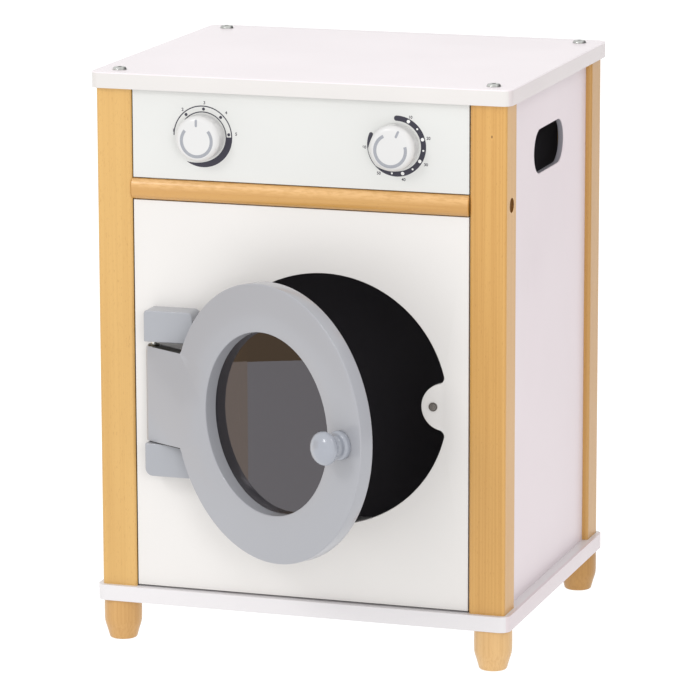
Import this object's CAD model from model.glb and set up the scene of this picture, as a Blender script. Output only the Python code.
"""Looks of a wooden toy washing machine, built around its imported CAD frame.

Every class below is one sub-assembly or one finish. Lengths in the sub-assemblies'
fields are millimetres, and the meshes are in metres in the frame's own axes:
X to the right, Y to the back, Z up from the floor. Finishes work in metres.
"""

import logging
import math
from dataclasses import dataclass
from enum import Enum
from typing import Callable, Dict, Iterable, List, Optional, Sequence, Tuple, Union

import bmesh
import bpy
from mathutils import Matrix, Vector


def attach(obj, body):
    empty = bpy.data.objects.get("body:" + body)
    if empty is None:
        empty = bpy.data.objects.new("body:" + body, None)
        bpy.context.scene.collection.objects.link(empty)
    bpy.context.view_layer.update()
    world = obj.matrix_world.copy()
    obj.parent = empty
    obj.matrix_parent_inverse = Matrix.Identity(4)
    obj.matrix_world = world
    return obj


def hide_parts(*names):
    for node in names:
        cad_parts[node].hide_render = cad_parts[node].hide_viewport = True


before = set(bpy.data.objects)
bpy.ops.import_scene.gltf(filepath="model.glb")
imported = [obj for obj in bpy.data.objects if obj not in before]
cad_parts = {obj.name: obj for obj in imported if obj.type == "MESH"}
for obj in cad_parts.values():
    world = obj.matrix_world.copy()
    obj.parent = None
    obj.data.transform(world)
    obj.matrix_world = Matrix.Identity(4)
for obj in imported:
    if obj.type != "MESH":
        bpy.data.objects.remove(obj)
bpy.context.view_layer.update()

log = logging.getLogger("toy_washer")

MM = 0.001
NEAR = 0.01
UPRIGHT = Matrix.Rotation(math.pi / 2, 4, "X")

Point = Tuple[float, float]
Triple = Tuple[float, float, float]
Colour = Triple
Term = Union["Wire", int, float]
Paint = Union["Wire", Colour]
Settings = Optional[Dict[str, object]]
Inputs = Optional[Dict[Union[str, int], object]]
Material = bpy.types.Material
Vert = bmesh.types.BMVert
Edge = bmesh.types.BMEdge


class Body(Enum):
    """The moving bodies of the frame."""

    CABINET = "cabinet"
    DOOR = "door"
    DIAL_LEFT = "dial_left"
    DIAL_RIGHT = "dial_right"


class Axis(Enum):
    """An axis of the frame, such as the one a grain runs along."""

    X = 0
    Y = 1
    Z = 2


# --- shader maths ---------------------------------------------------------


class Wire:
    """A shader socket that takes part in Python expressions."""

    def __init__(self, shader: "Shader", socket: bpy.types.NodeSocket) -> None:
        """Wraps an output socket of a shader."""
        self.shader = shader
        self.socket = socket

    def maths(self, operation: str, *values: Term) -> "Wire":
        """Adds one Math node that works on the values, in order."""
        settings = {"operation": operation}
        return self.shader.wire("ShaderNodeMath", 0, settings, dict(enumerate(values)))

    def __add__(self, other: Term) -> "Wire":
        """Returns self + other."""
        return self.maths("ADD", self, other)

    def __radd__(self, other: Term) -> "Wire":
        """Returns other + self."""
        return self.maths("ADD", other, self)

    def __sub__(self, other: Term) -> "Wire":
        """Returns self - other."""
        return self.maths("SUBTRACT", self, other)

    def __rsub__(self, other: Term) -> "Wire":
        """Returns other - self."""
        return self.maths("SUBTRACT", other, self)

    def __mul__(self, other: Term) -> "Wire":
        """Returns self * other."""
        return self.maths("MULTIPLY", self, other)

    def __abs__(self) -> "Wire":
        """Returns the value without its sign."""
        return self.maths("ABSOLUTE", self)

    def band(self, low: float, high: float) -> "Wire":
        """Rises smoothly from 0 at low to 1 at high."""
        settings = {"interpolation_type": "SMOOTHSTEP", "clamp": True}
        inputs = {"Value": self, "From Min": low, "From Max": high}
        return self.shader.wire("ShaderNodeMapRange", "Result", settings, inputs)


class Shader:
    """A material and the one method that makes its nodes."""

    def __init__(self, name: str) -> None:
        """Starts an empty node material."""
        self.material = bpy.data.materials.new(name)
        self.material.use_nodes = True
        self.tree = self.material.node_tree
        self.tree.nodes.clear()
        self.output = self.node("ShaderNodeOutputMaterial")

    def node(self, kind: str, settings: Settings = None,
             inputs: Inputs = None) -> bpy.types.Node:
        """Adds one node.

        Args:
            kind: The node's type.
            settings: Its properties, set first.
            inputs: Socket names or numbers to values or wires.

        Returns:
            The node.
        """
        node = self.tree.nodes.new(kind)
        for key, value in (settings or {}).items():
            setattr(node, key, value)
        for key, value in (inputs or {}).items():
            if isinstance(value, Wire):
                self.tree.links.new(value.socket, node.inputs[key])
            else:
                node.inputs[key].default_value = value
        return node

    def wire(self, kind: str, output: Union[str, int], settings: Settings = None,
             inputs: Inputs = None) -> Wire:
        """Adds one node and gives one of its outputs."""
        return Wire(self, self.node(kind, settings, inputs).outputs[output])

    def coords(self) -> Wire:
        """Object coordinates."""
        return self.wire("ShaderNodeTexCoord", "Object")

    def place(self, stretch: Sequence[float], shift: Sequence[float] = (0, 0, 0)) -> Wire:
        """Object coordinates, stretched along each axis and then shifted."""
        inputs = {"Vector": self.coords(), "Scale": tuple(stretch), "Location": tuple(shift)}
        return self.wire("ShaderNodeMapping", "Vector", {"vector_type": "POINT"}, inputs)

    def axis(self, axis: Axis) -> Wire:
        """One object coordinate."""
        return self.wire("ShaderNodeSeparateXYZ", axis.value, None, {"Vector": self.coords()})

    def away(self, spot: Sequence[float], scale: Sequence[float]) -> Wire:
        """Distance from a spot, scaled along each axis."""
        inputs = {0: self.place(scale, [-c * k for c, k in zip(spot, scale)])}
        return self.wire("ShaderNodeVectorMath", "Value", {"operation": "LENGTH"}, inputs)

    def noise(self, stretch: Sequence[float], shift: Sequence[float] = (0, 0, 0),
              detail: float = 2.0, distortion: float = 0.0) -> Wire:
        """A Noise texture's value.

        Args:
            stretch: How dense it is along each axis, per metre.
            shift: Where it starts.
            detail: Its octaves.
            distortion: How much it is distorted.

        Returns:
            The value from 0 to 1.
        """
        inputs = {"Vector": self.place(stretch, shift), "Scale": 1.0, "Detail": detail,
                  "Distortion": distortion}
        return self.wire("ShaderNodeTexNoise", "Fac", {"noise_dimensions": "3D"}, inputs)

    def mix(self, share: Term, one: Paint, two: Paint, blend: str = "MIX") -> Wire:
        """Mixes two colours.

        Args:
            share: How much of the second is used.
            one: The first colour.
            two: The second colour.
            blend: The Mix node's blend type.

        Returns:
            The mixed colour.
        """
        one, two = (c if isinstance(c, Wire) else (*c, 1.0) for c in (one, two))
        settings = {"data_type": "RGBA", "blend_type": blend, "clamp_factor": True}
        return self.wire("ShaderNodeMix", 2, settings, {0: share, 6: one, 7: two})

    def bump(self, height: Wire, strength: float, distance: float) -> Wire:
        """The normal over a height map, of which a value of 1 is the distance."""
        inputs = {"Height": height, "Strength": strength, "Distance": distance}
        return self.wire("ShaderNodeBump", "Normal", None, inputs)

    def surface(self, inputs: Dict[str, object]) -> Material:
        """Ends the shader in a Principled surface with these inputs."""
        surface = self.wire("ShaderNodeBsdfPrincipled", "BSDF", None, inputs)
        self.tree.links.new(surface.socket, self.output.inputs["Surface"])
        return self.material


# --- finishes -------------------------------------------------------------


def shade(colour: Colour, factor: float) -> Colour:
    """A colour made darker or lighter."""
    return tuple(min(1.0, c * factor) for c in colour)


@dataclass(frozen=True)
class Finish:
    """What all finishes share.

    Attributes:
        name: The material's name.
    """

    name: str

    def look(self, s: Shader) -> Dict[str, object]:
        """The inputs of the Principled surface, which each finish states for itself."""
        raise NotImplementedError

    def make(self) -> Material:
        """Builds the material."""
        s = Shader(self.name)
        return s.surface(self.look(s))


@dataclass(frozen=True)
class BeechFinish(Finish):
    """Clear-lacquered beech with soft bands, fine lines and short dark flecks.

    Attributes:
        grain: The axis the grain runs along.
        tone: What the wood's mean colour is multiplied with.
        shift: Moves the pattern, so that two pieces differ.
        lines: Strength of the fine lines along the grain.
        streaks: Strength of the broad darker streaks.
        coat: Weight of the clear coat.
        gloss: Roughness of the clear coat.
        knot: Where a small knot is.
        crown: The heights between which the wood turns paler, if it does.
        seam: Distance from the middle up to which, and the y from which, the wood lies
            dark in the gap beside a panel, if it does.
    """

    grain: Axis
    tone: Triple = (1.0, 1.0, 1.0)
    shift: Triple = (0.0, 0.0, 0.0)
    lines: float = 0.25
    streaks: float = 0.35
    coat: float = 0.25
    gloss: float = 0.24
    knot: Optional[Triple] = None
    crown: Optional[Point] = None
    seam: Optional[Point] = None

    LIGHT = (0.80, 0.49, 0.185)
    DEEP = (0.68, 0.385, 0.125)
    FLECK = (0.47, 0.225, 0.06)
    CROWN = (1.18, 1.27, 1.95)

    def stretch(self, across: float, along: float) -> List[float]:
        """The density of a pattern that is drawn out along the grain."""
        return [along if axis is self.grain else across for axis in Axis]

    def toned(self, colour: Colour) -> Colour:
        """A wood colour with the piece's own tone."""
        return tuple(c * t for c, t in zip(colour, self.tone))

    def look(self, s: Shader) -> Dict[str, object]:
        """Wood, with its knot, its pale crown and its dark seam where it has them."""
        light, deep, fleck = (self.toned(c) for c in (self.LIGHT, self.DEEP, self.FLECK))
        broad = s.noise(self.stretch(30, 1.2), self.shift, distortion=0.5)
        fine = s.noise(self.stretch(650, 3.0), self.shift, distortion=0.2)
        cloud = s.noise((9, 9, 9), self.shift)
        tone = broad.band(0.40, 0.66) * self.streaks + fine.band(0.40, 0.66) * self.lines
        wood = s.mix(tone + cloud * 0.15, light, deep)
        streak = s.noise(self.stretch(1500, 210), self.shift, 1.0)
        flecks = streak.band(0.645, 0.745)
        colour = s.mix(flecks * 0.34, wood, fleck)
        if self.knot is not None:
            away = s.away(self.knot, self.stretch(1000, 620))
            colour = s.mix(away.band(2.8, 1.4) * 0.25, colour, shade(light, 1.10))
            colour = s.mix(away.band(1.1, 0.4) * 0.85, colour, shade(fleck, 0.4))
        if self.crown is not None:
            up = s.axis(Axis.Z).band(*self.crown)
            patch = s.noise(self.stretch(520, 130), self.shift)
            pale = tuple(c * k for c, k in zip(light, self.CROWN))
            colour = s.mix(up * (patch.band(0.35, 0.62) * 0.55 + 0.45), colour, pale)
        if self.seam is not None:
            side, front = self.seam
            inner = 1.0 - abs(s.axis(Axis.X)).band(side + 0.05 * MM, side + 0.2 * MM)
            behind = s.axis(Axis.Y).band(front + 0.3 * MM, front + 0.7 * MM)
            colour = s.mix(inner * behind, colour, shade(fleck, 0.4))
        return {
            "Base Color": colour,
            "Roughness": 0.36 + flecks * 0.10 + cloud * 0.08,
            "Normal": s.bump(streak * 0.6 + fine * 0.4, 0.08, 0.00025),
            "Coat Weight": self.coat,
            "Coat Roughness": self.gloss,
            "Specular IOR Level": 0.45,
        }


@dataclass(frozen=True)
class Tint:
    """Another colour that a paint has past a coordinate.

    Attributes:
        axis: The axis along which the colour changes.
        at: The coordinate in millimetres where it changes.
        sign: 1 where the other colour lies at higher values, -1 at lower ones.
        colour: The other colour.
    """

    axis: Axis
    at: float
    sign: int
    colour: Colour

    def paint(self, s: Shader, under: Paint) -> Wire:
        """Lays the colour over what is under it."""
        edge, soft = self.at * MM, 0.1 * MM
        beyond = s.axis(self.axis).band(edge - soft, edge + soft)
        return s.mix(beyond if self.sign > 0 else 1.0 - beyond, under, self.colour)


@dataclass(frozen=True)
class LacquerFinish(Finish):
    """Sprayed satin lacquer on board or turned wood.

    Attributes:
        colour: The paint's colour.
        roughness: Its mean roughness.
        coat: Weight of the clear coat.
        grain: Strength of the fine orange-peel bump.
        tints: Where the paint has other colours, the last on top.
    """

    colour: Colour
    roughness: float = 0.42
    coat: float = 0.12
    grain: float = 0.05
    tints: Tuple[Tint, ...] = ()

    def look(self, s: Shader) -> Dict[str, object]:
        """Paint that varies a little over long and over very short stretches."""
        slow = s.noise((7, 7, 7))
        spray = s.noise((760, 760, 760))
        colour = self.colour
        for tint in self.tints:
            colour = tint.paint(s, colour)
        return {
            "Base Color": s.mix(slow.band(0.30, 0.72), colour, (0.97, 0.97, 0.97), "MULTIPLY"),
            "Roughness": self.roughness + (slow - 0.5) * 0.08 + (spray - 0.5) * 0.04,
            "Normal": s.bump(spray, self.grain, 0.0002),
            "Coat Weight": self.coat,
            "Coat Roughness": 0.12,
            "Specular IOR Level": 0.42,
        }


@dataclass(frozen=True)
class MetalFinish(Finish):
    """Plated or turned metal with fine tool marks.

    Attributes:
        colour: The metal's colour.
        roughness: Its mean roughness.
    """

    colour: Colour
    roughness: float

    def worn(self, s: Shader, colour: Wire) -> Wire:
        """The colour after wear in set places, of which plain metal has none."""
        return colour

    def look(self, s: Shader) -> Dict[str, object]:
        """Metal with marks and stains."""
        marks = s.noise((900, 900, 3200))
        stain = s.noise((90, 90, 90))
        colour = s.mix(stain.band(0.35, 0.75), self.colour, shade(self.colour, 0.72))
        return {
            "Base Color": self.worn(s, colour),
            "Metallic": 1.0,
            "Roughness": self.roughness + (marks - 0.5) * 0.22 + (stain - 0.5) * 0.12,
            "Normal": s.bump(marks, 0.08, 0.0001),
        }


@dataclass(frozen=True)
class BoltHeadFinish(MetalFinish):
    """Plated bolt heads with a tarnished arc along the back of each.

    Attributes:
        bolt_x: Distance of the heads from the middle.
        row_y: Where the front row is.
        pitch: Distance between the two rows.
    """

    bolt_x: float
    row_y: float
    pitch: float

    RIM = (4.2 * MM, 5.6 * MM)
    BACK = (-4.0 * MM, -1.2 * MM)

    def worn(self, s: Shader, colour: Wire) -> Wire:
        """Darkens the rim behind and beside the middle of each head."""
        u = abs(s.axis(Axis.X)) - self.bolt_x
        rows = s.axis(Axis.Y) - (self.row_y - self.pitch / 2)
        v = rows.maths("FLOORED_MODULO", rows, self.pitch) - self.pitch / 2
        square = u * u + v * v
        rim = square.maths("SQRT", square).band(*self.RIM)
        return s.mix(rim * v.band(*self.BACK), colour, shade(self.colour, 0.26))


@dataclass(frozen=True)
class MagnetFinish(MetalFinish):
    """A dull round magnet that is darker towards its rim.

    Attributes:
        centre: Its centre.
    """

    centre: Triple

    def worn(self, s: Shader, colour: Wire) -> Wire:
        """Darkens the rim."""
        rim = s.away(self.centre, (1000, 0, 1000)).band(2.4, 3.8)
        return s.mix(rim * 0.7, colour, shade(self.colour, 0.35))


@dataclass(frozen=True)
class PaneFinish(Finish):
    """A polished, heavily smoked sheet with faint smudges.

    Attributes:
        colour: The smoke tint.
    """

    colour: Colour

    def look(self, s: Shader) -> Dict[str, object]:
        """Clear sheet that lets through little light."""
        smudge = s.noise((26, 26, 26), detail=3.0, distortion=0.4)
        return {
            "Base Color": s.mix(smudge, self.colour, shade(self.colour, 1.15)),
            "Roughness": 0.0,
            "Transmission Weight": 1.0,
            "IOR": 1.5,
            "Specular Tint": (1.0, 0.86, 1.03, 1.0),
            "Coat Weight": 0.8,
            "Coat Roughness": 0.0,
        }


@dataclass(frozen=True)
class EndGrainFinish(Finish):
    """Oiled end grain, dark and matt, with growth rings.

    Attributes:
        colour: The oiled colour.
    """

    colour: Colour

    def look(self, s: Shader) -> Dict[str, object]:
        """Rings and pores."""
        settings = {"wave_type": "RINGS", "rings_direction": "X"}
        inputs = {"Vector": s.place((1, 1, 1), (0, -0.09, -0.46)), "Scale": 260.0,
                  "Distortion": 2.5}
        ring = s.wire("ShaderNodeTexWave", "Fac", settings, inputs)
        pores = s.noise((1900, 1900, 1900), detail=1.0)
        return {
            "Base Color": s.mix(ring * 0.6 + pores * 0.3, self.colour, shade(self.colour, 0.6)),
            "Roughness": 0.7 + pores * 0.15,
            "Normal": s.bump(pores, 0.25, 0.0002),
        }


@dataclass(frozen=True)
class InkFinish(Finish):
    """Screen-printed ink, a little uneven.

    Attributes:
        colour: The ink's colour.
    """

    colour: Colour

    def look(self, s: Shader) -> Dict[str, object]:
        """Ink that is thinner in spots."""
        cover = s.noise((1200, 1200, 1200))
        thin = tuple(min(1.0, c * 1.5 + 0.01) for c in self.colour)
        return {
            "Base Color": s.mix(cover.band(0.45, 0.85) * 0.5, self.colour, thin),
            "Roughness": 0.45 + cover * 0.15,
        }


# --- mesh work ------------------------------------------------------------


def run(edge: Edge, axis: Axis) -> float:
    """How far an edge runs along an axis."""
    return abs(edge.verts[0].co[axis.value] - edge.verts[1].co[axis.value])


def lies(edge: Edge, axis: Axis, at: float) -> bool:
    """Whether an edge lies at a coordinate."""
    return all(abs(v.co[axis.value] - at) < NEAR for v in edge.verts)


def put(name: str, data: bpy.types.ID) -> bpy.types.Object:
    """Adds an object to the scene."""
    made = bpy.data.objects.new(name, data)
    bpy.context.scene.collection.objects.link(made)
    return made


class Work:
    """A bmesh in millimetres that becomes one finished piece."""

    WELD = 0.02
    DOUBLE = 0.005

    def __init__(self) -> None:
        """Starts an empty mesh."""
        self.bm = bmesh.new()
        self.first: Optional[Vert] = None
        self.last: Optional[Vert] = None

    # outlines, drawn in the XZ plane

    def start(self, x: float, z: float) -> None:
        """Puts down the first point of an outline."""
        self.first = self.last = self.bm.verts.new((x, 0.0, z))

    def line(self, x: float, z: float) -> None:
        """Draws a straight edge to a point."""
        self.last = bmesh.ops.extrude_vert_indiv(self.bm, verts=[self.last])["verts"][0]
        self.last.co = Vector((x, 0.0, z))

    def path(self, points: Sequence[Point], closed: bool = True) -> None:
        """Draws straight edges through points, and back to the first if closed."""
        self.start(*points[0])
        for point in points[1:]:
            self.line(*point)
        if closed:
            self.close()

    def arc(self, cx: float, cz: float, degrees: float, steps: int) -> None:
        """Draws an arc from the last point about a centre, from +X towards +Z."""
        self.last = self.spin([self.last], (cx, 0, cz), (0, -1, 0), degrees, steps)[0]

    def oval(self, centre: Point, radii: Point, start: float, end: float, steps: int) -> None:
        """Adds points along an elliptic arc.

        Args:
            centre: Its centre, in x and z.
            radii: Its half widths along x and z.
            start: Angle of its first point, in degrees.
            end: Angle of its last point.
            steps: Number of straight steps.
        """
        for i in range(steps + 1):
            a = math.radians(start + (end - start) * i / steps)
            self.line(centre[0] + radii[0] * math.cos(a), centre[1] + radii[1] * math.sin(a))

    def rounded(self, centres: Sequence[Point], radius: float, steps: int) -> None:
        """Draws a closed outline round equal circles, as a string round pegs.

        Args:
            centres: The circles' centres, anticlockwise from one of the lowest.
            radius: Their radius.
            steps: Number of edges of each arc.
        """
        turn = 360 / len(centres)
        for i, (cx, cz) in enumerate(centres):
            a = math.radians(turn * i - 90)
            draw = self.line if i else self.start
            draw(cx + radius * math.cos(a), cz + radius * math.sin(a))
            self.arc(cx, cz, turn, steps)
        self.close()

    def close(self) -> None:
        """Joins the outline's last point to its first."""
        if (self.last.co - self.first.co).length > self.WELD:
            self.bm.edges.new((self.last, self.first))
        bmesh.ops.remove_doubles(self.bm, verts=self.bm.verts, dist=self.WELD)

    def circle(self, x: float, z: float, radius: float, steps: int, full: bool = False) -> None:
        """Adds a closed circle, or a full disc."""
        turn = Matrix.Translation((x, 0.0, z)) @ UPRIGHT
        bmesh.ops.create_circle(self.bm, cap_ends=full, radius=radius, segments=steps, matrix=turn)

    def fill(self, edges: Optional[List[Edge]] = None, normal: Triple = (0, -1, 0)) -> None:
        """Fills an outline, with its holes left open."""
        bmesh.ops.triangle_fill(
            self.bm, use_beauty=True, use_dissolve=False, edges=edges or self.bm.edges[:],
            normal=normal,
        )

    def thicken(self, y0: float, y1: float) -> None:
        """Turns the filled outline into a plate from y0 to y1."""
        bmesh.ops.translate(self.bm, verts=self.bm.verts, vec=(0, y0, 0))
        made = bmesh.ops.extrude_face_region(self.bm, geom=self.bm.faces[:])
        verts = [g for g in made["geom"] if isinstance(g, Vert)]
        bmesh.ops.translate(self.bm, verts=verts, vec=(0, y1 - y0, 0))
        self.outwards()

    def outwards(self) -> None:
        """Merges doubles and points every face outwards."""
        bmesh.ops.remove_doubles(self.bm, verts=self.bm.verts, dist=self.DOUBLE)
        bmesh.ops.recalc_face_normals(self.bm, faces=self.bm.faces)

    # solids

    def block(self, low: Sequence[float], high: Sequence[float]) -> None:
        """Adds a box between two corners."""
        size = [h - l for l, h in zip(low, high)]
        middle = [(h + l) / 2 for l, h in zip(low, high)]
        place = Matrix.Translation(middle) @ Matrix.Diagonal((*size, 1.0))
        bmesh.ops.create_cube(self.bm, size=1.0, matrix=place)

    def spin(self, geom: list, centre: Triple, axis: Triple, degrees: float, steps: int,
             merge: bool = False) -> list:
        """Spins geometry.

        Args:
            geom: The vertices and edges.
            centre: A point of the spin's axis.
            axis: The axis.
            degrees: The angle turned.
            steps: Number of copies.
            merge: Whether a full turn is closed.

        Returns:
            The last copy.
        """
        made = bmesh.ops.spin(
            self.bm, geom=geom, cent=centre, axis=axis, dvec=(0, 0, 0),
            angle=math.radians(degrees), steps=steps, use_merge=merge,
        )
        return made["geom_last"]

    def lathe(self, steps: int) -> None:
        """Spins the outline about the Z axis."""
        self.spin(self.bm.verts[:] + self.bm.edges[:], (0, 0, 0), (0, 0, 1), 360, steps, True)
        self.outwards()

    def pull(self, edges: List[Edge], way: Sequence[float]) -> Tuple[List[Vert], List[Edge]]:
        """Extrudes edges.

        Args:
            edges: The edges.
            way: How far their copies move.

        Returns:
            The copied vertices and the copied edges.
        """
        made = bmesh.ops.extrude_edge_only(self.bm, edges=edges)["geom"]
        verts = [g for g in made if isinstance(g, Vert)]
        bmesh.ops.translate(self.bm, verts=verts, vec=way)
        return verts, [g for g in made if isinstance(g, Edge) and all(v in verts for v in g.verts)]

    def cut(self, spot: Triple, normal: Triple, clear: bool = False) -> None:
        """Cuts along a plane, and clears what lies behind it if asked."""
        bmesh.ops.bisect_plane(
            self.bm, geom=self.bm.verts[:] + self.bm.edges[:] + self.bm.faces[:],
            plane_co=spot, plane_no=normal, clear_inner=clear,
        )

    # edges

    def edges(self, test: Callable[[Edge], bool]) -> List[Edge]:
        """The edges that pass a test."""
        return [e for e in self.bm.edges if test(e)]

    def rims(self, degrees: float = 50.0) -> List[Edge]:
        """The edges where two faces meet at more than an angle."""
        limit = math.radians(degrees)
        return self.edges(lambda e: len(e.link_faces) == 2 and e.calc_face_angle(0.0) > limit)

    def round(self, edges: Iterable[Edge], radius: float, segments: int) -> None:
        """Rounds edges."""
        bmesh.ops.bevel(
            self.bm, geom=list(edges), offset=radius, offset_type="OFFSET", affect="EDGES",
            segments=segments, profile=0.5, material=-1, clamp_overlap=True, loop_slide=False,
        )

    # finishing

    def move(self, matrix: Matrix) -> None:
        """Moves the mesh, still in millimetres."""
        bmesh.ops.transform(self.bm, matrix=matrix, verts=self.bm.verts)

    def mesh(self, name: str) -> bpy.types.Mesh:
        """Turns the bmesh, which is used up, into a mesh."""
        mesh = bpy.data.meshes.new(name)
        self.bm.to_mesh(mesh)
        self.bm.free()
        return mesh

    def take(self, other: "Work") -> None:
        """Takes in another mesh, which is used up."""
        mesh = other.mesh("part")
        self.bm.from_mesh(mesh)
        bpy.data.meshes.remove(mesh)

    def piece(self, name: str, body: Body, slot: str, material: Material,
              node: Optional[str] = None, smooth: float = 40.0) -> None:
        """Makes the object, in metres, and gives it its body and finish.

        Args:
            name: The piece's name.
            body: The body it rides on.
            slot: The record's material slot.
            material: Its material.
            node: The CAD node that it replaces, if any.
            smooth: Edges sharper than this angle stay sharp, in degrees.
        """
        bmesh.ops.scale(self.bm, vec=(MM, MM, MM), verts=self.bm.verts)
        limit = math.radians(smooth)
        for face in self.bm.faces:
            face.smooth = True
        for edge in self.bm.edges:
            edge.smooth = len(edge.link_faces) == 2 and edge.calc_face_angle(0.0) < limit
        made = put(name, self.mesh(name))
        made.data.materials.append(material)
        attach(made, body.value)
        if node:
            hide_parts(node)
        log.info("%s: %d faces on %s", name, len(made.data.polygons), body.value)


def dress(material: Material, *nodes: str) -> None:
    """Gives CAD nodes a finish in their own material slots."""
    for name in nodes:
        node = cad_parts[name]
        if not node.material_slots:
            node.data.materials.append(material)
        for held in node.material_slots:
            held.material = material
        log.info("%s: dressed in %s", name, material.name)


# --- the cabinet ----------------------------------------------------------


@dataclass
class Cabinet:
    """Sizes that the sub-assemblies share.

    Attributes:
        middle_y: Its middle between front and back.
        half_w: Half its width over the posts.
        half_d: Half its depth over the posts.
        post: Side of a post.
        foot_h: Height of the feet.
        board: Thickness of the top and bottom boards.
        post_h: Height of the posts.
        panel: Thickness of the panels.
    """

    middle_y: float = 87.15
    half_w: float = 200.0
    half_d: float = 167.5
    post: float = 35.0
    foot_h: float = 40.0
    board: float = 15.0
    post_h: float = 480.0
    panel: float = 6.0

    @property
    def deck(self) -> float:
        """Top of the bottom board."""
        return self.foot_h + self.board

    @property
    def roof(self) -> float:
        """Underside of the top board."""
        return self.deck + self.post_h

    @property
    def inner_x(self) -> float:
        """Inner faces of the posts."""
        return self.half_w - self.post

    @property
    def front_y(self) -> float:
        """Front faces of the posts."""
        return self.middle_y - self.half_d

    @property
    def panel_y(self) -> float:
        """Front face of the front panels."""
        return self.front_y + 1.5

    @property
    def dark_y(self) -> Point:
        """Where the front panels turn dark inside, and where the back panel does."""
        return (self.panel_y + self.panel - 0.7, self.middle_y + self.half_d - 7.0)

    @property
    def hinge(self) -> Point:
        """The door's hinge axis, in x and y."""
        return (-142.0, self.middle_y - 175.0)

    @property
    def bolts(self) -> List[Point]:
        """The top bolts, in x and y, over the middles of the posts."""
        x, y = self.half_w - self.post / 2, self.half_d - self.post / 2
        return [(sx * x, self.middle_y + sy * y) for sx in (-1, 1) for sy in (-1, 1)]


@dataclass
class Assembly:
    """What the sub-assemblies share.

    Attributes:
        cabinet: The shared sizes.
    """

    cabinet: Cabinet


@dataclass
class Boards(Assembly):
    """The top and bottom boards with softly rounded rims.

    Attributes:
        lip: How far the boards stand out past the posts.
        corner: Corner radius in plan.
        rim: Rounding of the long edges.
        head_hole: Radius of the bolt-head holes in the top.
    """

    lip: float = 5.0
    corner: float = 10.0
    rim: float = 2.4
    head_hole: float = 6.7

    def board(self, low: float, holes: bool) -> Work:
        """One board.

        Args:
            low: Height of its underside.
            holes: Whether it has bolt holes.

        Returns:
            The mesh.
        """
        c = self.cabinet
        r = self.corner
        x, z = c.half_w + self.lip - r, c.half_d + self.lip - r
        work = Work()
        work.rounded([(x, -z), (x, z), (-x, z), (-x, -z)], r, 8)
        for bolt_x, bolt_y in c.bolts if holes else ():
            work.circle(bolt_x, bolt_y - c.middle_y, self.head_hole, 40)
        work.fill()
        work.thicken(0, c.board)
        outer = [e for e in work.rims() if max(abs(v.co.x) for v in e.verts) > x - NEAR]
        work.round(outer, self.rim, 5)
        rest = Matrix.Translation((0, c.middle_y, low + c.board))
        work.move(rest @ UPRIGHT.inverted())
        work.outwards()
        return work

    def build(self, top: Material, bottom: Material) -> None:
        """Makes both boards."""
        c = self.cabinet
        upper, lower = self.board(c.roof, True), self.board(c.foot_h, False)
        upper.piece("board_top", Body.CABINET, "lacquer_top", top, "top_panel")
        lower.piece("board_bottom", Body.CABINET, "lacquer_board", bottom, "bottom_panel")


@dataclass
class Feet(Assembly):
    """Four turned feet.

    Attributes:
        inset: Foot centre from the posts' outer faces.
        profile: Radius and height of each point of the turning, from the floor.
    """

    inset: float = 15.0
    profile: Tuple[Point, ...] = (
        (0.0, 0.0), (11.6, 0.0), (12.6, 0.25), (13.25, 1.0), (13.7, 2.6), (14.6, 6.0),
        (15.6, 9.4), (16.6, 12.4), (17.3, 14.8), (17.75, 17.2), (17.95, 20.0), (18.0, 24.0),
        (18.0, 30.0), (17.9, 35.0), (17.7, 38.6), (17.35, 39.7), (16.9, 40.0), (0.0, 40.0),
    )

    def build(self, finishes: Sequence[Material]) -> None:
        """Makes the feet, each with its own grain."""
        c = self.cabinet
        names = [(row, side) for row in ("front", "rear") for side in ("left", "right")]
        for (row, side), finish in zip(names, finishes):
            work = Work()
            work.path(self.profile, closed=False)
            work.lathe(64)
            x, y = c.half_w - self.inset, c.half_d - self.inset
            x, y = -x if side == "left" else x, -y if row == "front" else y
            work.move(Matrix.Translation((x, c.middle_y + y, 0)))
            node = f"foot_{row}_{side}"
            work.piece(f"turned_{node}", Body.CABINET, "beech", finish, node, 55)


@dataclass
class Rail(Assembly):
    """The beech rail under the control panel.

    Attributes:
        top: Height of its top.
        height: Its height.
        depth: Its depth.
        proud: How far it stands out past the posts.
        end_gap: Gap at its right end.
        nose: Rounding of its front edges.
    """

    top: float = 450.5
    height: float = 20.0
    depth: float = 35.0
    proud: float = 2.3
    end_gap: float = 1.0
    nose: float = 6.5

    def build(self, finish: Material) -> None:
        """Makes the rail."""
        c = self.cabinet
        front, right = c.front_y - self.proud, c.inner_x - self.end_gap
        work = Work()
        work.block((-c.inner_x, front, self.top - self.height),
                   (right, front + self.depth, self.top))
        work.round(work.edges(lambda e: lies(e, Axis.Y, front) and run(e, Axis.X) > 1),
                   self.nose, 8)
        work.round(work.edges(lambda e: lies(e, Axis.X, right)), 0.6, 2)
        work.piece("rail_front", Body.CABINET, "beech", finish, "front_rail")


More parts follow.
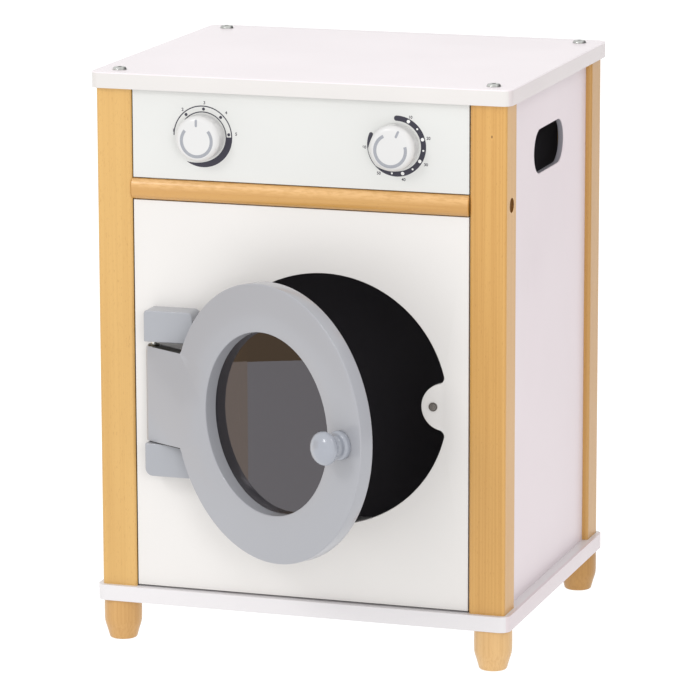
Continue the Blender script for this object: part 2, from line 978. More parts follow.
@dataclass
class FrontPanel(Assembly):
    """The front panel with its round opening and the magnet's tongue.

    Attributes:
        bottom: Height of its lower edge.
        top: Height of its upper edge.
        gap: Gap beside each post.
        centre: Centre of the opening, in x and z.
        radius: Radius of the opening.
        tongue: Distance of the tongue's centre and its radius.
        fillet: Radius of the two corners beside the tongue.
        rim: Rounding of the edges.
        magnet: Radius of the magnet's hole.
        magnet_x: Where the magnet is.
    """

    bottom: float = 56.75
    top: float = 430.0
    gap: float = 1.0
    centre: Point = (24.0, 250.0)
    radius: float = 120.0
    tongue: Point = (117.0, 22.5)
    fillet: float = 6.0
    rim: float = 0.4
    magnet: float = 4.15
    magnet_x: float = 130.0

    def opening(self, work: Work) -> None:
        """Draws the opening's outline."""
        ox, oz = self.centre
        off, small = self.tongue
        reach, arm = self.radius - self.fillet, small + self.fillet
        fx = (reach ** 2 + off ** 2 - arm ** 2) / (2 * off)
        fz = math.sqrt(reach ** 2 - fx ** 2)
        at_open, at_tongue = math.atan2(fz, fx), math.degrees(math.atan2(fz, fx - off))
        work.start(ox + self.radius * math.cos(at_open), oz + self.radius * math.sin(at_open))
        at_open = math.degrees(at_open)
        turn = at_tongue - 180 - at_open
        work.arc(ox + fx, oz + fz, turn, 16)
        work.arc(ox + off, oz, 2 * (180 - at_tongue), 40)
        work.arc(ox + fx, oz - fz, turn, 16)
        work.arc(ox, oz, -(360 - 2 * at_open), 200)
        work.close()

    def build(self, finish: Material) -> None:
        """Makes the panel."""
        c = self.cabinet
        half, low, high = c.inner_x - self.gap, self.bottom, self.top
        work = Work()
        self.opening(work)
        work.circle(self.magnet_x, self.centre[1], self.magnet, 48)
        work.path([(-half, low), (half, low), (half, high), (-half, high)])
        work.fill()
        work.thicken(c.panel_y, c.panel_y + c.panel)
        rims = [e for e in work.rims() if run(e, Axis.Y) < 0.1 and not self.at_magnet(e)]
        work.round(rims, self.rim, 3)
        work.outwards()
        work.piece("panel_front", Body.CABINET, "lacquer_front", finish, "front_panel")

    def at_magnet(self, edge: Edge) -> bool:
        """Whether an edge is on the magnet's hole."""
        return all(math.hypot(v.co.x - self.magnet_x, v.co.z - self.centre[1])
                   < self.magnet + 0.5 for v in edge.verts)


@dataclass
class SidePanels(Assembly):
    """The side panels with their hand holes.

    Attributes:
        outer: Outer face from the cabinet's middle.
        half: Half the panel's length.
        air: Gap under the top board.
        hand: Length, height and centre height of the hand hole.
        rim: Rounding of the hole's edges.
    """

    outer: float = 194.0
    half: float = 138.3
    air: float = 0.2
    hand: Triple = (105.0, 42.0, 472.0)
    rim: float = 0.9

    @property
    def dark_x(self) -> Point:
        """Where the hand hole's wall starts, and where the dark inner face does."""
        return (self.outer - self.rim, self.outer - self.cabinet.panel + 0.2)

    def at_hole(self, edge: Edge) -> bool:
        """Whether an edge lies on the hand hole's outline, on either face."""
        length, height, z = self.hand
        return run(edge, Axis.Y) < 0.1 and all(
            abs(v.co.x) < length and abs(v.co.z - z) < height / 2 + 1 for v in edge.verts
        )

    def build(self, finishes: Dict[str, Material]) -> None:
        """Makes both panels."""
        c = self.cabinet
        length, height, z = self.hand
        end = (length - height) / 2
        low, high = c.deck, c.roof - self.air
        for side, sign in (("left", -1), ("right", 1)):
            work = Work()
            work.rounded([(end, z), (-end, z)], height / 2, 32)
            work.path([(-self.half, low), (self.half, low), (self.half, high),
                       (-self.half, high)])
            work.fill()
            work.thicken(0, c.panel)
            work.round([e for e in work.rims() if self.at_hole(e)], self.rim, 4)
            turn = Matrix.Rotation(math.pi / 2 * sign, 4, "Z")
            work.move(Matrix.Translation((sign * self.outer, c.middle_y, 0)) @ turn)
            work.outwards()
            work.piece(f"panel_side_{side}", Body.CABINET, "lacquer_side", finishes[side],
                       f"side_panel_{side}")


@dataclass
class HingeBlocks(Assembly):
    """The two blocks that hold the hinge pins.

    Attributes:
        left: Left face.
        right: Right face.
        depth: How far they stand out of the panel.
        spans: Bottom and top of each block.
        corners: Radii of each block's corners: lower left, lower right, upper left, upper right.
        rim: Rounding of the front edges.
    """

    left: float = -147.5
    right: float = -99.03
    depth: float = 22.0
    spans: Tuple[Point, Point] = ((169.6, 201.0), (299.0, 329.0))
    corners: Tuple[Tuple[float, ...], ...] = ((7.5, 5.0, 1.0, 2.0), (1.0, 2.0, 3.5, 5.0))
    rim: float = 1.6

    def build(self, finish: Material) -> None:
        """Makes both blocks."""
        front = self.cabinet.panel_y - self.depth
        for name, (low, high), radii in zip(("lower", "upper"), self.spans, self.corners):
            work = Work()
            work.block((self.left, front, low), (self.right, front + self.depth, high))
            spots = [(x, z) for z in (low, high) for x in (self.left, self.right)]
            for (x, z), radius in zip(spots, radii):
                work.round(work.edges(lambda e: lies(e, Axis.X, x) and lies(e, Axis.Z, z)),
                           radius, 8)
            work.round([e for e in work.rims(40) if lies(e, Axis.Y, front)], self.rim, 5)
            work.outwards()
            work.piece(f"pivot_block_{name}", Body.CABINET, "lacquer_hinge", finish,
                       f"hinge_block_{name}")


@dataclass
class PlugWells(Assembly):
    """The oiled walls of the two wells that the rail's plugs lie in.

    Attributes:
        at: Their y from the posts' front, and their height.
        radius: Radius of a well.
        depth: Depth of a plug's face in its well.
        skin: Thickness of the oiled wood.
        air: Gap that keeps it off the plug and inside the post.
    """

    at: Point = (18.0, 440.5)
    radius: float = 6.93
    depth: float = 2.0
    skin: float = 0.15
    air: Point = (0.03, 0.02)

    def build(self, finish: Material) -> None:
        """Makes both walls as one piece."""
        c = self.cabinet
        whole = Work()
        outer, inner, high = self.radius, self.radius - self.skin, self.depth - self.air[0]
        for sign in (-1, 1):
            work = Work()
            work.path([(outer, 0), (outer, high), (inner, high), (inner, 0)])
            work.lathe(48)
            spot = (sign * (c.half_w - self.depth + self.air[1]), c.front_y + self.at[0],
                    self.at[1])
            work.move(Matrix.Translation(spot) @ Matrix.Rotation(sign * math.pi / 2, 4, "Y"))
            whole.take(work)
        whole.piece("plug_wells", Body.CABINET, "plug_brown", finish)


# --- the door -------------------------------------------------------------


@dataclass
class Door(Assembly):
    """The round door with its hinge tab, in its own frame at the hinge axis.

    Attributes:
        opened: Opening angle at rest, in degrees.
        centre_z: Height of the ring's centre.
        reach: Ring centre from the axis.
        ring: Outer radius.
        window: Window radius.
        thick: Thickness.
        tab: Height of the tab.
        tab_up: Middle of the tab above the ring's centre.
        rebate: Width and depth of the pane's rebate.
        rim: Rounding of the round edges.
        tab_rim: Rounding of the tab's edges.
    """

    opened: float = 30.0
    centre_z: float = 246.1
    reach: float = 168.0
    ring: float = 130.0
    window: float = 85.0
    thick: float = 15.0
    tab: float = 91.0
    tab_up: float = 1.7
    rebate: Point = (10.0, 2.5)
    rim: float = 1.1
    tab_rim: float = 0.4

    @property
    def place(self) -> Matrix:
        """From the door's frame to the cabinet's."""
        move = Matrix.Translation((*self.cabinet.hinge, self.centre_z))
        return move @ Matrix.Rotation(math.radians(-self.opened), 4, "Z")

    @property
    def tab_span(self) -> Point:
        """Bottom and top of the tab."""
        return (self.tab_up - self.tab / 2, self.tab_up + self.tab / 2)

    def leaf(self) -> Work:
        """The ring and its tab as one plate, with the rebate at its back."""
        half_t = self.thick / 2
        low, high = self.tab_span
        upper, lower = math.asin(high / self.ring), math.asin(-low / self.ring)
        work = Work()
        work.start(self.reach - self.ring * math.cos(upper), high)
        work.arc(self.reach, 0, -(360 - math.degrees(upper + lower)), 220)
        work.line(-half_t, low)
        work.line(-half_t, high)
        work.close()
        work.circle(self.reach, 0, self.window, 160)
        work.fill()
        work.thicken(-half_t, half_t)
        end = work.edges(lambda e: lies(e, Axis.X, -half_t) and run(e, Axis.Z) > self.tab - 1)
        work.round(end, half_t - 0.05, 12)
        rims = [e for e in work.rims(55) if not self.at_back_hole(e)]
        work.round([e for e in rims if self.on_circle(e, self.ring, self.window)], self.rim, 4)
        tab = [e for e in work.rims(55) if lies(e, Axis.Z, high) or lies(e, Axis.Z, low)]
        work.round(tab, self.tab_rim, 2)
        self.cut_rebate(work)
        work.outwards()
        return work

    def on_circle(self, edge: Edge, *radii: float) -> bool:
        """Whether an edge lies on one of some circles about the ring's centre."""
        ends = [math.hypot(v.co.x - self.reach, v.co.z) for v in edge.verts]
        return any(all(abs(r - at) < 0.1 for r in ends) for at in radii)

    def at_back_hole(self, edge: Edge) -> bool:
        """Whether an edge is on the window's rim at the back."""
        return lies(edge, Axis.Y, self.thick / 2) and self.on_circle(edge, self.window)

    def cut_rebate(self, work: Work) -> None:
        """Steps the window's rim back to hold the pane."""
        width, depth = self.rebate
        back = work.edges(self.at_back_hole)
        old = {v for e in back for v in e.verts}
        flat = [f for f in work.bm.faces if all(lies(e, Axis.Y, self.thick / 2) for e in f.edges)]
        outer = work.edges(lambda e: sum(f in flat for f in e.link_faces) == 1 and e not in back)
        bmesh.ops.delete(work.bm, geom=flat, context="FACES_ONLY")
        bmesh.ops.translate(work.bm, verts=list(old), vec=(0, -depth, 0))
        ring, edges = work.pull([e for e in back if e.is_valid], (0, 0, 0))
        grow = (self.window + width) / self.window
        middle = Matrix.Translation((self.reach, 0, 0))
        bmesh.ops.scale(work.bm, verts=ring, vec=(grow, 1, grow), space=middle.inverted())
        lip = work.pull(edges, (0, depth, 0))[1]
        work.fill([e for e in outer if e.is_valid] + lip, (0, 1, 0))

    def build(self, finish: Material) -> None:
        """Makes the leaf."""
        work = self.leaf()
        work.move(self.place)
        work.piece("door_leaf", Body.DOOR, "lacquer_door", finish, "door_ring")


@dataclass
class DoorKnob:
    """The turned knob on the door.

    Attributes:
        door: The door it is screwed to.
        reach: Distance from the hinge axis.
        down: How far it lies below the ring's centre.
        foot: Radius, height and rounding of its foot.
        neck: Radius of its neck, and the width and half height of the hollow round it.
        ball: Radius and half thickness of its flattened ball.
        ball_out: Height of the ball's centre.
    """

    door: Door
    reach: float = 272.0
    down: float = 1.3
    foot: Triple = (13.4, 6.5, 3.0)
    neck: Triple = (7.2, 3.0, 3.2)
    ball: Point = (15.58, 9.39)
    ball_out: float = 20.8

    def build(self, finish: Material) -> None:
        """Makes the knob."""
        r, h, soft = self.foot
        neck_r, hollow, rise = self.neck
        work = Work()
        work.path([(0, 0), (r - 0.4, 0), (r, 0.5), (r, h - soft)], closed=False)
        work.arc(r - soft, h - soft, 75, 12)
        work.oval((neck_r + hollow, h + rise - 0.1), (hollow, rise), 260, 125, 14)
        work.oval((0, self.ball_out), self.ball, -57, 90, 44)
        work.lathe(72)
        place = Matrix.Translation((self.reach, -self.door.thick / 2, -self.down))
        work.move(self.door.place @ place @ UPRIGHT)
        work.piece("knob_of_door", Body.DOOR, "lacquer_knob_grey", finish, "door_knob", 50)


@dataclass
class HingeStraps:
    """The thin dark plates on the tab's top and bottom.

    Attributes:
        door: The door they lie on.
        along: Start and end, from the hinge axis.
        across: Front and rear edge.
        thick: Thickness.
    """

    door: Door
    along: Point = (6.2, 46.0)
    across: Point = (-7.35, 3.6)
    thick: float = 0.5

    def build(self, finish: Material) -> None:
        """Makes both plates as one piece."""
        low, high = self.door.tab_span
        whole = Work()
        for foot in (high, low - self.thick):
            plate = Work()
            plate.block((self.along[0], self.across[0], foot),
                        (self.along[1], self.across[1], foot + self.thick))
            plate.round(plate.rims(), 0.12, 2)
            whole.take(plate)
        whole.move(self.door.place)
        whole.piece("hinge_straps", Body.DOOR, "zinc_steel", finish)


# --- the dials ------------------------------------------------------------


def clock(degrees: float, radius: float) -> Point:
    """A point at a clock angle from 12, clockwise."""
    a = math.radians(degrees)
    return (radius * math.sin(a), radius * math.cos(a))


class Print(Work):
    """Flat ink, drawn about a dial's middle with clock angles."""

    def band(self, inner: float, outer: float, start: float, end: float,
             taper: float = 0.0, power: float = 1.6) -> None:
        """Draws a band round the dial.

        Args:
            inner: Inner radius.
            outer: Outer radius.
            start: Clock angle of its start.
            end: Clock angle of its end.
            taper: Share of the width that is lost towards the end.
            power: How late the width is lost.
        """
        strip = Work()
        strip.path([clock(start, inner), clock(start, outer)], closed=False)
        steps = max(2, int(abs(end - start) / 3))
        strip.spin(strip.bm.verts[:] + strip.bm.edges[:], (0, 0, 0), (0, -1, 0), start - end,
                   steps)
        for vert in strip.bm.verts:
            radius = math.hypot(vert.co.x, vert.co.z)
            if taper and radius < (inner + outer) / 2:
                way = 1 if end > start else -1
                at = way * (math.degrees(math.atan2(vert.co.x, vert.co.z)) - start) % 360
                share = min(1.0, at / abs(end - start)) if at < 359 else 0.0
                vert.co *= (inner + (outer - inner) * taper * share ** power) / radius
        self.take(strip)

    def dots(self, at: float, radius: float, *degrees: float) -> None:
        """Draws round dots at a radius and some clock angles."""
        for angle in degrees:
            self.circle(*clock(angle, at), radius, 24, full=True)

    def cap(self, degrees: float, at: float, radius: float, way: int) -> None:
        """Rounds a band's end with half a disc.

        Args:
            degrees: Clock angle of the end.
            at: Distance of the band's middle from the centre.
            radius: Half the band's width.
            way: 1 where the disc lies clockwise of the end, -1 where it lies before it.
        """
        half = Print()
        half.dots(at, radius, degrees)
        x, z = clock(degrees, at)
        a = math.radians(degrees)
        half.cut((x, 0, z), (math.cos(a) * way, 0, -math.sin(a) * way), clear=True)
        self.take(half)

    def figure(self, text: str, height: float, spot: Point, bold: float) -> None:
        """Prints a plain figure.

        Args:
            text: The figure.
            height: Its height.
            spot: Its middle's clock angle and distance.
            bold: How much its strokes are thickened on each side.
        """
        curve = bpy.data.curves.new("figure", "FONT")
        curve.body = text
        curve.size = height * 1.42
        curve.offset = bold
        curve.align_x = curve.align_y = "CENTER"
        holder = put("figure", curve)
        bpy.context.view_layer.update()
        mesh = bpy.data.meshes.new_from_object(holder)
        bpy.data.objects.remove(holder)
        x, z = clock(*spot)
        mesh.transform(Matrix.Translation((x, 0, z)) @ UPRIGHT)
        self.bm.from_mesh(mesh)
        bpy.data.meshes.remove(mesh)

    def lay(self, name: str, body: Body, slot: str, place: Matrix, ink: Material) -> None:
        """Turns the flat print to the front and makes it a piece."""
        bmesh.ops.remove_doubles(self.bm, verts=self.bm.verts, dist=0.001)
        for face in self.bm.faces:
            face.normal_update()
            if face.normal.y > 0:
                face.normal_flip()
        self.move(place)
        self.piece(name, body, slot, ink)


@dataclass
class Dial(Assembly):
    """One dial: its print on the panel, its knob and the knob's mark.

    Attributes:
        side: -1 for the left dial, 1 for the right one.
        x: Distance from the cabinet's middle.
        z: Height.
        turned: Turn of the knob at rest, clockwise, in degrees.
        knob: Base radius, height, shoulder radius and air gap of the knob.
        ring: Inner radius, width and number of the bands that make the mark's ring.
        ring_at: Where the ring's middle lies, in x and z.
        gap: Clock angle at which the ring starts, and the same before 12.
        bar: Half width, start and end of the mark's pointer.
        proud: Thickness at which a print lies on its ground.
        bold: How much a figure's strokes are thickened on each side.
    """

    side: int
    x: float = 94.5
    z: float = 493.0
    turned: float = 0.0
    knob: Tuple[float, float, float, float] = (21.4, 18.5, 5.4, 0.3)
    ring: Tuple[float, float, int] = (13.2, 0.5, 6)
    ring_at: Point = (0.3, -1.6)
    gap: float = 50.0
    bar: Triple = (1.15, 12.6, 17.4)
    proud: float = 0.04
    bold: float = 0.09

    @property
    def name(self) -> str:
        """left or right."""
        return "left" if self.side < 0 else "right"

    @property
    def body(self) -> Body:
        """The dial's own body."""
        return Body.DIAL_LEFT if self.side < 0 else Body.DIAL_RIGHT

    def face(self, lift: float) -> Matrix:
        """From a print drawn in x and z to the panel, lifted off it."""
        return Matrix.Translation((self.side * self.x, self.cabinet.panel_y - lift, self.z))

    def build_knob(self, finish: Material) -> None:
        """Makes the knob."""
        base, height, shoulder, air = self.knob
        work = Work()
        work.path([(0, air), (base - 0.7, air), (base - 0.1, air + 0.5), (base, air + 1.2),
                   (base, air + height - shoulder)], closed=False)
        work.arc(base - shoulder, air + height - shoulder, 90, 14)
        work.line(0, air + height)
        work.lathe(120)
        work.move(self.face(0) @ UPRIGHT)
        work.piece(f"knob_of_dial_{self.name}", self.body, "lacquer_dial", finish,
                   f"dial_knob_{self.name}", 35)

    def build_mark(self, ink: Material) -> None:
        """Prints the pointer and a plain ring on the knob's face."""
        base, height, shoulder, air = self.knob
        inner, width, count = self.ring
        work = Print()
        for step in range(count):
            work.band(inner + step * width, inner + (step + 1) * width, self.gap, 360 - self.gap)
        work.move(Matrix.Translation((self.ring_at[0], 0, self.ring_at[1])))
        half, low, high = self.bar
        bar = Work()
        bar.path([(-half, low), (half, low), (half, high)], closed=False)
        bar.arc(0, high, 180, 8)
        bar.line(-half, low)
        bar.arc(0, low, 180, 8)
        bar.close()
        bar.fill()
        flat = base - shoulder
        for step in range(5):
            bar.cut((0, 0, flat + step * 0.5), (0, 0, 1))
        work.take(bar)
        for vert in work.bm.verts:
            past = math.hypot(vert.co.x, vert.co.z) - flat
            if past > 0:
                vert.co.y += shoulder - math.sqrt(shoulder ** 2 - past ** 2)
        turn = Matrix.Rotation(math.radians(self.turned), 4, "Y")
        place = self.face(air + height + self.proud) @ turn
        work.lay(f"dial_mark_{self.name}", self.body, "lacquer_dial", place, ink)

    def print_panel(self, work: Print, what: str, ink: Material, layer: int = 1) -> None:
        """Lays a print on the panel."""
        place = self.face(self.proud * layer)
        work.lay(f"dial_{what}_{self.name}", Body.CABINET, "lacquer_control", place, ink)

    def print_figures(self, height: float, labels: Dict[str, Point], ink: Material) -> None:
        """Prints plain figures round the dial.

        Args:
            height: Height of a figure.
            labels: Each figure, its clock angle and its distance from the dial's centre.
            ink: The ink.
        """
        work = Print()
        for text, spot in labels.items():
            work.figure(text, height, spot, self.bold)
        self.print_panel(work, "figures", ink)


class ProgrammeDial(Dial):
    """The left dial, with a thin double line and a tapering band."""

    def build_print(self, dark: Material) -> None:
        """Prints the scale on the panel."""
        work = Print()
        work.band(28.0, 29.05, -90, 89.5)
        work.band(22.5, 23.5, -50, 89.5)
        work.band(22.6, 29.05, 89.5, 214, taper=1.0, power=4.0)
        work.dots(25.8, 1.5, -39.5, 2, 43.5, 84)
        self.print_panel(work, "scale", dark)
        self.print_figures(2.9, {"1": (-81.4, 29.4), "2": (-39.1, 31.4), "3": (3.3, 31.65),
                                 "4": (45.2, 32.8), "5": (83.9, 33.1)}, dark)


class TimeDial(Dial):
    """The right dial, with a bold band and white dots."""

    def build_print(self, dark: Material, white: Material) -> None:
        """Prints the scale on the panel."""
        work = Print()
        work.band(23.4, 28.4, 0, 172)
        work.band(23.4, 28.4, 172, 226, taper=0.88)
        work.band(27.8, 28.4, 226, 262)
        work.band(24.6, 28.4, 292, 262, taper=0.84)
        work.cap(0, 25.9, 2.5, -1)
        work.cap(292, 26.5, 1.9, 1)
        self.print_panel(work, "scale", dark)
        dots = Print()
        dots.dots(25.9, 1.65, 26, 74, 120.5, 167)
        dots.dots(25.9, 0.95, 50, 97, 143.5, 190)
        self.print_panel(dots, "dots", white, layer=2)
        self.print_figures(2.7, {"10": (26.0, 30.3), "20": (74.5, 31.76), "30": (119.7, 32.5),
                                 "40": (167.8, 31.7), "50": (213.3, 31.3), "60": (265.4, 31.3)},
                           dark)


# --- fixings --------------------------------------------------------------


@dataclass
class TopBolts(Assembly):
    """The low domed bolt heads that stand a little out of the top board.

    Attributes:
        head: Radius and height of a head.
        dome: Rounding of its upper edge.
        proud: How far it stands out of the board.
        socket: Radius and depth of its hexagon socket.
    """

    head: Point = (6.5, 3.2)
    dome: float = 2.3
    proud: float = 2.6
    socket: Point = (2.3, 1.7)

    def head_mesh(self) -> Work:
        """One head, with its top at the height 0."""
        (radius, height), (hex_r, hex_h) = self.head, self.socket
        work = Work()
        for size, sides in ((radius, 48), (hex_r, 6)):
            bmesh.ops.create_circle(work.bm, cap_ends=False, radius=size, segments=sides)
        work.fill(normal=(0, 0, 1))
        rim = work.edges(lambda e: e.is_boundary)
        outer = [e for e in rim if e.verts[0].co.length > radius - 0.1]
        inner = [e for e in rim if e not in outer]
        work.pull(outer, (0, 0, -height))
        floor = work.pull(inner, (0, 0, -hex_h))[1]
        bmesh.ops.contextual_create(work.bm, geom=floor)
        work.outwards()
        edge = [e for e in work.rims(60)
                if all(v.co.length > radius - 0.1 and v.co.z > -0.1 for v in e.verts)]
        work.round(edge, self.dome, 8)
        return work

    def build(self, finish: Material) -> None:
        """Makes the four heads as one piece."""
        c = self.cabinet
        whole = Work()
        for x, y in c.bolts:
            work = self.head_mesh()
            work.move(Matrix.Translation((x, y, c.roof + c.board + self.proud)))
            whole.take(work)
        whole.piece("bolt_heads_top", Body.CABINET, "zinc_steel", finish, "top_bolts")


# --- studio ---------------------------------------------------------------


@dataclass
class Studio:
    """Floor, light and camera, all in metres.

    Attributes:
        camera_at: The camera's place.
        yaw: Turn of the view to the left, in degrees.
        pitch: Tilt of the view below the horizon, in degrees.
        roll: Roll of the view, in degrees.
        focal: Focal length in pixels for a picture of the width below.
        width: Width of the picture.
        aim: The point that the lamps face.
    """

    camera_at: Triple = (1.2903, -3.89595, 1.1470)
    yaw: float = 18.013
    pitch: float = 11.932
    roll: float = -0.131
    focal: float = 4410.34
    width: float = 700.0
    aim: Triple = (0.0, 0.0, 0.3)

    def camera(self) -> None:
        """Makes the camera."""
        yaw, pitch, roll = (math.radians(a) for a in (self.yaw, self.pitch, self.roll))
        ahead = Vector((
            -math.sin(yaw) * math.cos(pitch), math.cos(yaw) * math.cos(pitch), -math.sin(pitch)
        ))
        right = ahead.cross(Vector((0, 0, 1))).normalized()
        up = right.cross(ahead)
        side = right * math.cos(roll) + up * math.sin(roll)
        rise = up * math.cos(roll) - right * math.sin(roll)
        data = bpy.data.cameras.new("camera")
        data.sensor_width = 36.0
        data.lens = self.focal * data.sensor_width / self.width
        data.dof.use_dof = False
        camera = put("camera", data)
        turn = Matrix((side, rise, -ahead)).transposed().to_4x4()
        camera.matrix_world = Matrix.Translation(self.camera_at) @ turn
        bpy.context.scene.camera = camera

    @staticmethod
    def sheet(name: str, grey: float, glow: Colour) -> bpy.types.Object:
        """Makes a flat square of a metre that isn't part of the object.

        Args:
            name: Its name.
            grey: How much light it gives back.
            glow: The colour in which it glows.

        Returns:
            The square.
        """
        work = Work()
        bmesh.ops.create_grid(work.bm, x_segments=1, y_segments=1, size=0.5)
        sheet = put(name, work.mesh(name))
        sheet.data.materials.append(Shader(f"{name}_paper").surface({
            "Base Color": (grey, grey, grey, 1.0), "Roughness": 0.9, "Specular IOR Level": 0.0,
            "Emission Color": (*glow, 1.0), "Emission Strength": 1.0,
        }))
        return sheet

    def floor(self, size: float) -> None:
        """Lays a plain pale floor that glows a little, so that shadows stay faint."""
        self.sheet("floor", 0.15, (1.0, 1.0, 1.0)).matrix_world = Matrix.Diagonal(
            (size, size, 1.0, 1.0)
        )

    def card(self, name: str, start: Point, end: Point, height: float, glow: Colour,
             shades: bool = False) -> None:
        """Stands a card out of sight.

        Args:
            name: Its name.
            start: Where its foot starts, in x and y.
            end: Where its foot ends.
            height: Its height.
            glow: The colour in which it glows.
            shades: Whether it shades the room's light, or is only seen by glossy surfaces.
        """
        card = self.sheet(name, 0.0, glow)
        along, middle = Vector(end) - Vector(start), (Vector(end) + Vector(start)) / 2
        card.matrix_world = (
            Matrix.Translation((middle.x, middle.y, height / 2))
            @ Matrix.Rotation(math.atan2(along.y, along.x), 4, "Z") @ UPRIGHT
            @ Matrix.Diagonal((along.length, height, 1.0, 1.0))
        )
        card.visible_camera = False
        card.visible_diffuse = shades
        card.visible_shadow = False

    def lamp(self, name: str, at: Triple, size: float, watts: float,
             colour: Colour = (1, 1, 1), glints: bool = True) -> None:
        """Hangs one soft area lamp.

        Args:
            name: Its name.
            at: Its place.
            size: Its side.
            watts: Its power.
            colour: Its colour.
            glints: Whether glossy surfaces mirror it.
        """
        data = bpy.data.lights.new(name, "AREA")
        data.shape = "SQUARE"
        data.size = size
        data.energy = watts
        data.color = colour
        lamp = put(name, data)
        lamp.visible_glossy = glints
        aimed = (Vector(self.aim) - Vector(at)).to_track_quat("-Z", "Y").to_matrix().to_4x4()
        lamp.matrix_world = Matrix.Translation(at) @ aimed

    def world(self) -> None:
        """Sets the even light of a white room."""
        world = bpy.data.worlds.new("room")
        world.use_nodes = True
        back = world.node_tree.nodes["Background"]
        back.inputs["Color"].default_value = (1.0, 1.0, 1.0, 1.0)
        back.inputs["Strength"].default_value = 1.0
        bpy.context.scene.world = world

    def build(self) -> None:
        """Sets up floor, lights and camera."""
        bpy.context.scene.view_settings.view_transform = "Standard"
        self.camera()
        self.floor(28.0)
        self.card("card_far", (-1.354, -0.84), (-1.423, -0.01), 0.6, (0.575, 0.425, 0.268))
        self.card("card_near", (-0.75, -0.2834), (-0.75, 0.05), 0.14, (1.20, 1.04, 0.88))
        self.card("card_right", (1.7, -0.35), (1.7, 2.6), 2.4, (0.335, 0.326, 0.335), True)
        self.world()
        self.lamp("key", (-1.23, -2.13, 1.98), 0.7, 14.0)
        self.lamp("front", (1.3, -2.3, 1.0), 0.8, 13.0, glints=False)
        self.lamp("fill", (2.01, -0.06, 2.52), 0.9, 9.0, (1.0, 0.97, 0.98))


# --- assembly -------------------------------------------------------------

WHITE = (0.718, 0.697, 0.677)
BLACK = (0.085, 0.080, 0.092)


def build_boards(cabinet: Cabinet) -> None:
    """Makes the top and bottom boards."""
    side_at = cabinet.half_w + 2.1
    face_at = cabinet.roof + cabinet.board - 1.0
    top = LacquerFinish("lacquer_top", (0.670, 0.646, 0.630), 0.34, tints=(
        Tint(Axis.X, side_at, 1, (0.673, 0.617, 0.617)),
        Tint(Axis.Z, face_at, 1, (0.812, 0.751, 0.773)),
    ))
    bottom = LacquerFinish("lacquer_board", (0.697, 0.675, 0.685), 0.34, tints=(
        Tint(Axis.X, side_at, 1, (0.688, 0.610, 0.630)),
    ))
    Boards(cabinet).build(top.make(), bottom.make())


def build_wood(cabinet: Cabinet) -> None:
    """Dresses the posts and makes the feet, the rail and its plugs' wells."""
    seam = (cabinet.inner_x * MM, cabinet.front_y * MM)
    posts = (
        BeechFinish("beech_post_front_left", Axis.Z, (0.795, 0.787, 0.675), seam=seam),
        BeechFinish("beech_post_front_right", Axis.Z, (0.770, 0.704, 0.527), (3.1, 1.7, 0.4),
                    0.5, knot=(0.1860, -0.0804, 0.5060), seam=seam),
        BeechFinish("beech_post_rear_left", Axis.Z, (0.84, 0.82, 0.76), (7.7, 2.2, 1.3)),
        BeechFinish("beech_post_rear_right", Axis.Z, (0.668, 0.600, 0.449), (5.2, 6.1, 2.9)),
    )
    for finish in posts:
        dress(finish.make(), finish.name.replace("beech_", ""))
    tones = ((0.716, 0.661, 0.588), (0.843, 0.865, 0.98), (0.72, 0.67, 0.61),
             (0.549, 0.468, 0.32))
    Feet(cabinet).build([
        BeechFinish(f"beech_foot_{i}", Axis.Z, tone, (2.3 * i, 1.9 * i, 0.7 * i), 0.5).make()
        for i, tone in enumerate(tones, 1)
    ])
    Rail(cabinet).build(BeechFinish(
        "beech_rail", Axis.X, (0.75, 0.665, 0.43), (1.1, 4.2, 0.6), lines=0.55, streaks=0.75,
        coat=1.0, gloss=0.36, crown=(438.5 * MM, 447.0 * MM),
    ).make())
    plug = EndGrainFinish("plug_end_grain", (0.22, 0.09, 0.012)).make()
    PlugWells(cabinet).build(plug)
    dress(plug, "rail_plugs")


def build_panels(cabinet: Cabinet) -> None:
    """Makes the front and side panels, and dresses the others, all dark on the inside."""
    inside = (Tint(Axis.Y, cabinet.dark_y[0], 1, BLACK),)
    behind = (Tint(Axis.Y, cabinet.dark_y[1], -1, BLACK),)
    FrontPanel(cabinet).build(LacquerFinish("lacquer_front", WHITE, tints=inside).make())
    control = LacquerFinish("lacquer_control", (0.663, 0.665, 0.648), tints=inside)
    dress(control.make(), "control_panel")
    dress(LacquerFinish("lacquer_back", WHITE, tints=behind).make(), "back_panel")
    panels, sides = SidePanels(cabinet), {}
    for side, sign in (("left", -1), ("right", 1)):
        tints = tuple(Tint(Axis.X, sign * at, -sign, colour)
                      for at, colour in zip(panels.dark_x, ((0.28, 0.27, 0.30), BLACK)))
        paint = LacquerFinish(f"lacquer_side_{side}", (0.731, 0.648, 0.677), tints=tints)
        sides[side] = paint.make()
    panels.build(sides)


def build_door(cabinet: Cabinet) -> None:
    """Makes the door with its blocks, knob and plates, and dresses its pane."""
    blocks = LacquerFinish("lacquer_hinge", (0.340, 0.349, 0.377), 0.30, 0.45, 0.03)
    HingeBlocks(cabinet).build(blocks.make())
    door = Door(cabinet)
    door.build(LacquerFinish("lacquer_door", (0.342, 0.347, 0.373), 0.30, 0.45, 0.03).make())
    knob = LacquerFinish("lacquer_knob", (0.322, 0.339, 0.382), 0.22, 0.6, 0.02)
    DoorKnob(door).build(knob.make())
    HingeStraps(door).build(LacquerFinish("strap_dark", (0.012, 0.010, 0.006), 0.5).make())
    dress(PaneFinish("pane_smoked", (0.050, 0.047, 0.052)).make(), "door_window")


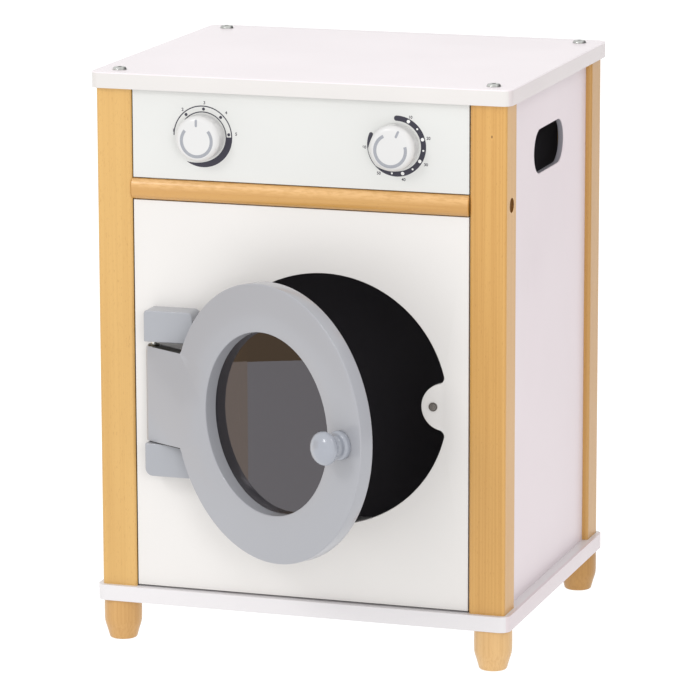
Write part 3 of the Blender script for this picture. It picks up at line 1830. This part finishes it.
def build_dials(cabinet: Cabinet) -> None:
    """Makes both dials."""
    white = LacquerFinish("lacquer_dial", (0.65, 0.645, 0.64), 0.30, 0.3, 0.03).make()
    dark_ink = InkFinish("ink_dark", (0.030, 0.028, 0.045)).make()
    white_ink = InkFinish("ink_white", (0.76, 0.76, 0.75)).make()
    grey_ink = InkFinish("ink_grey", (0.30, 0.31, 0.34)).make()
    programme, timer = ProgrammeDial(cabinet, -1), TimeDial(cabinet, 1, turned=24.0)
    for dial, inks in ((programme, (dark_ink,)), (timer, (dark_ink, white_ink))):
        dial.build_knob(white)
        dial.build_print(*inks)
        dial.build_mark(grey_ink)


def build_fixings(cabinet: Cabinet) -> None:
    """Makes the bolt heads and dresses the other fixings."""
    x, front = cabinet.bolts[-2]
    pitch = cabinet.bolts[-1][1] - front
    heads = BoltHeadFinish("steel_heads", (0.56, 0.57, 0.55), 0.32, x * MM, front * MM, pitch * MM)
    TopBolts(cabinet).build(heads.make())
    dress(MetalFinish("zinc_steel", (0.46, 0.47, 0.48), 0.30).make(),
          "window_screws", "door_knob_screw", "cleat_screws", "hinge_block_screws",
          "foot_bolts", "rail_bolts", "dial_washer_left", "dial_washer_right",
          "dial_screw_left", "dial_screw_right")
    dress(MetalFinish("pin_bright", (0.80, 0.79, 0.76), 0.22).make(),
          "hinge_pin_upper", "hinge_pin_lower")
    dress(MetalFinish("bronze_dark", (0.09, 0.075, 0.045), 0.40).make(),
          "hinge_bush_upper", "hinge_bush_lower")
    dress(MetalFinish("brass_aged", (0.45, 0.38, 0.25), 0.42).make(),
          "top_sleeves", "foot_sleeves", "rail_sleeves")
    panel = FrontPanel(cabinet)
    centre = (panel.magnet_x * MM, 0.0, panel.centre[1] * MM)
    dress(MagnetFinish("magnet_nickel", (0.52, 0.485, 0.44), 0.30, centre).make(), "door_magnet")
    dress(LacquerFinish("strip_black", (0.02, 0.019, 0.018), 0.6).make(),
          "cleat_front_left", "cleat_front_right", "cleat_control_left",
          "cleat_control_right", "cleat_bottom")
    dress(BeechFinish("beech_dowel", Axis.Z).make(), "dowels_top", "dowels_bottom")


def main() -> None:
    """Builds every sub-assembly in order."""
    logging.basicConfig(level=logging.INFO, format="%(name)s: %(message)s")
    cabinet = Cabinet()
    for build in (build_boards, build_wood, build_panels, build_door, build_dials,
                  build_fixings):
        build(cabinet)
    Studio().build()


if __name__ == "__main__":
    main()
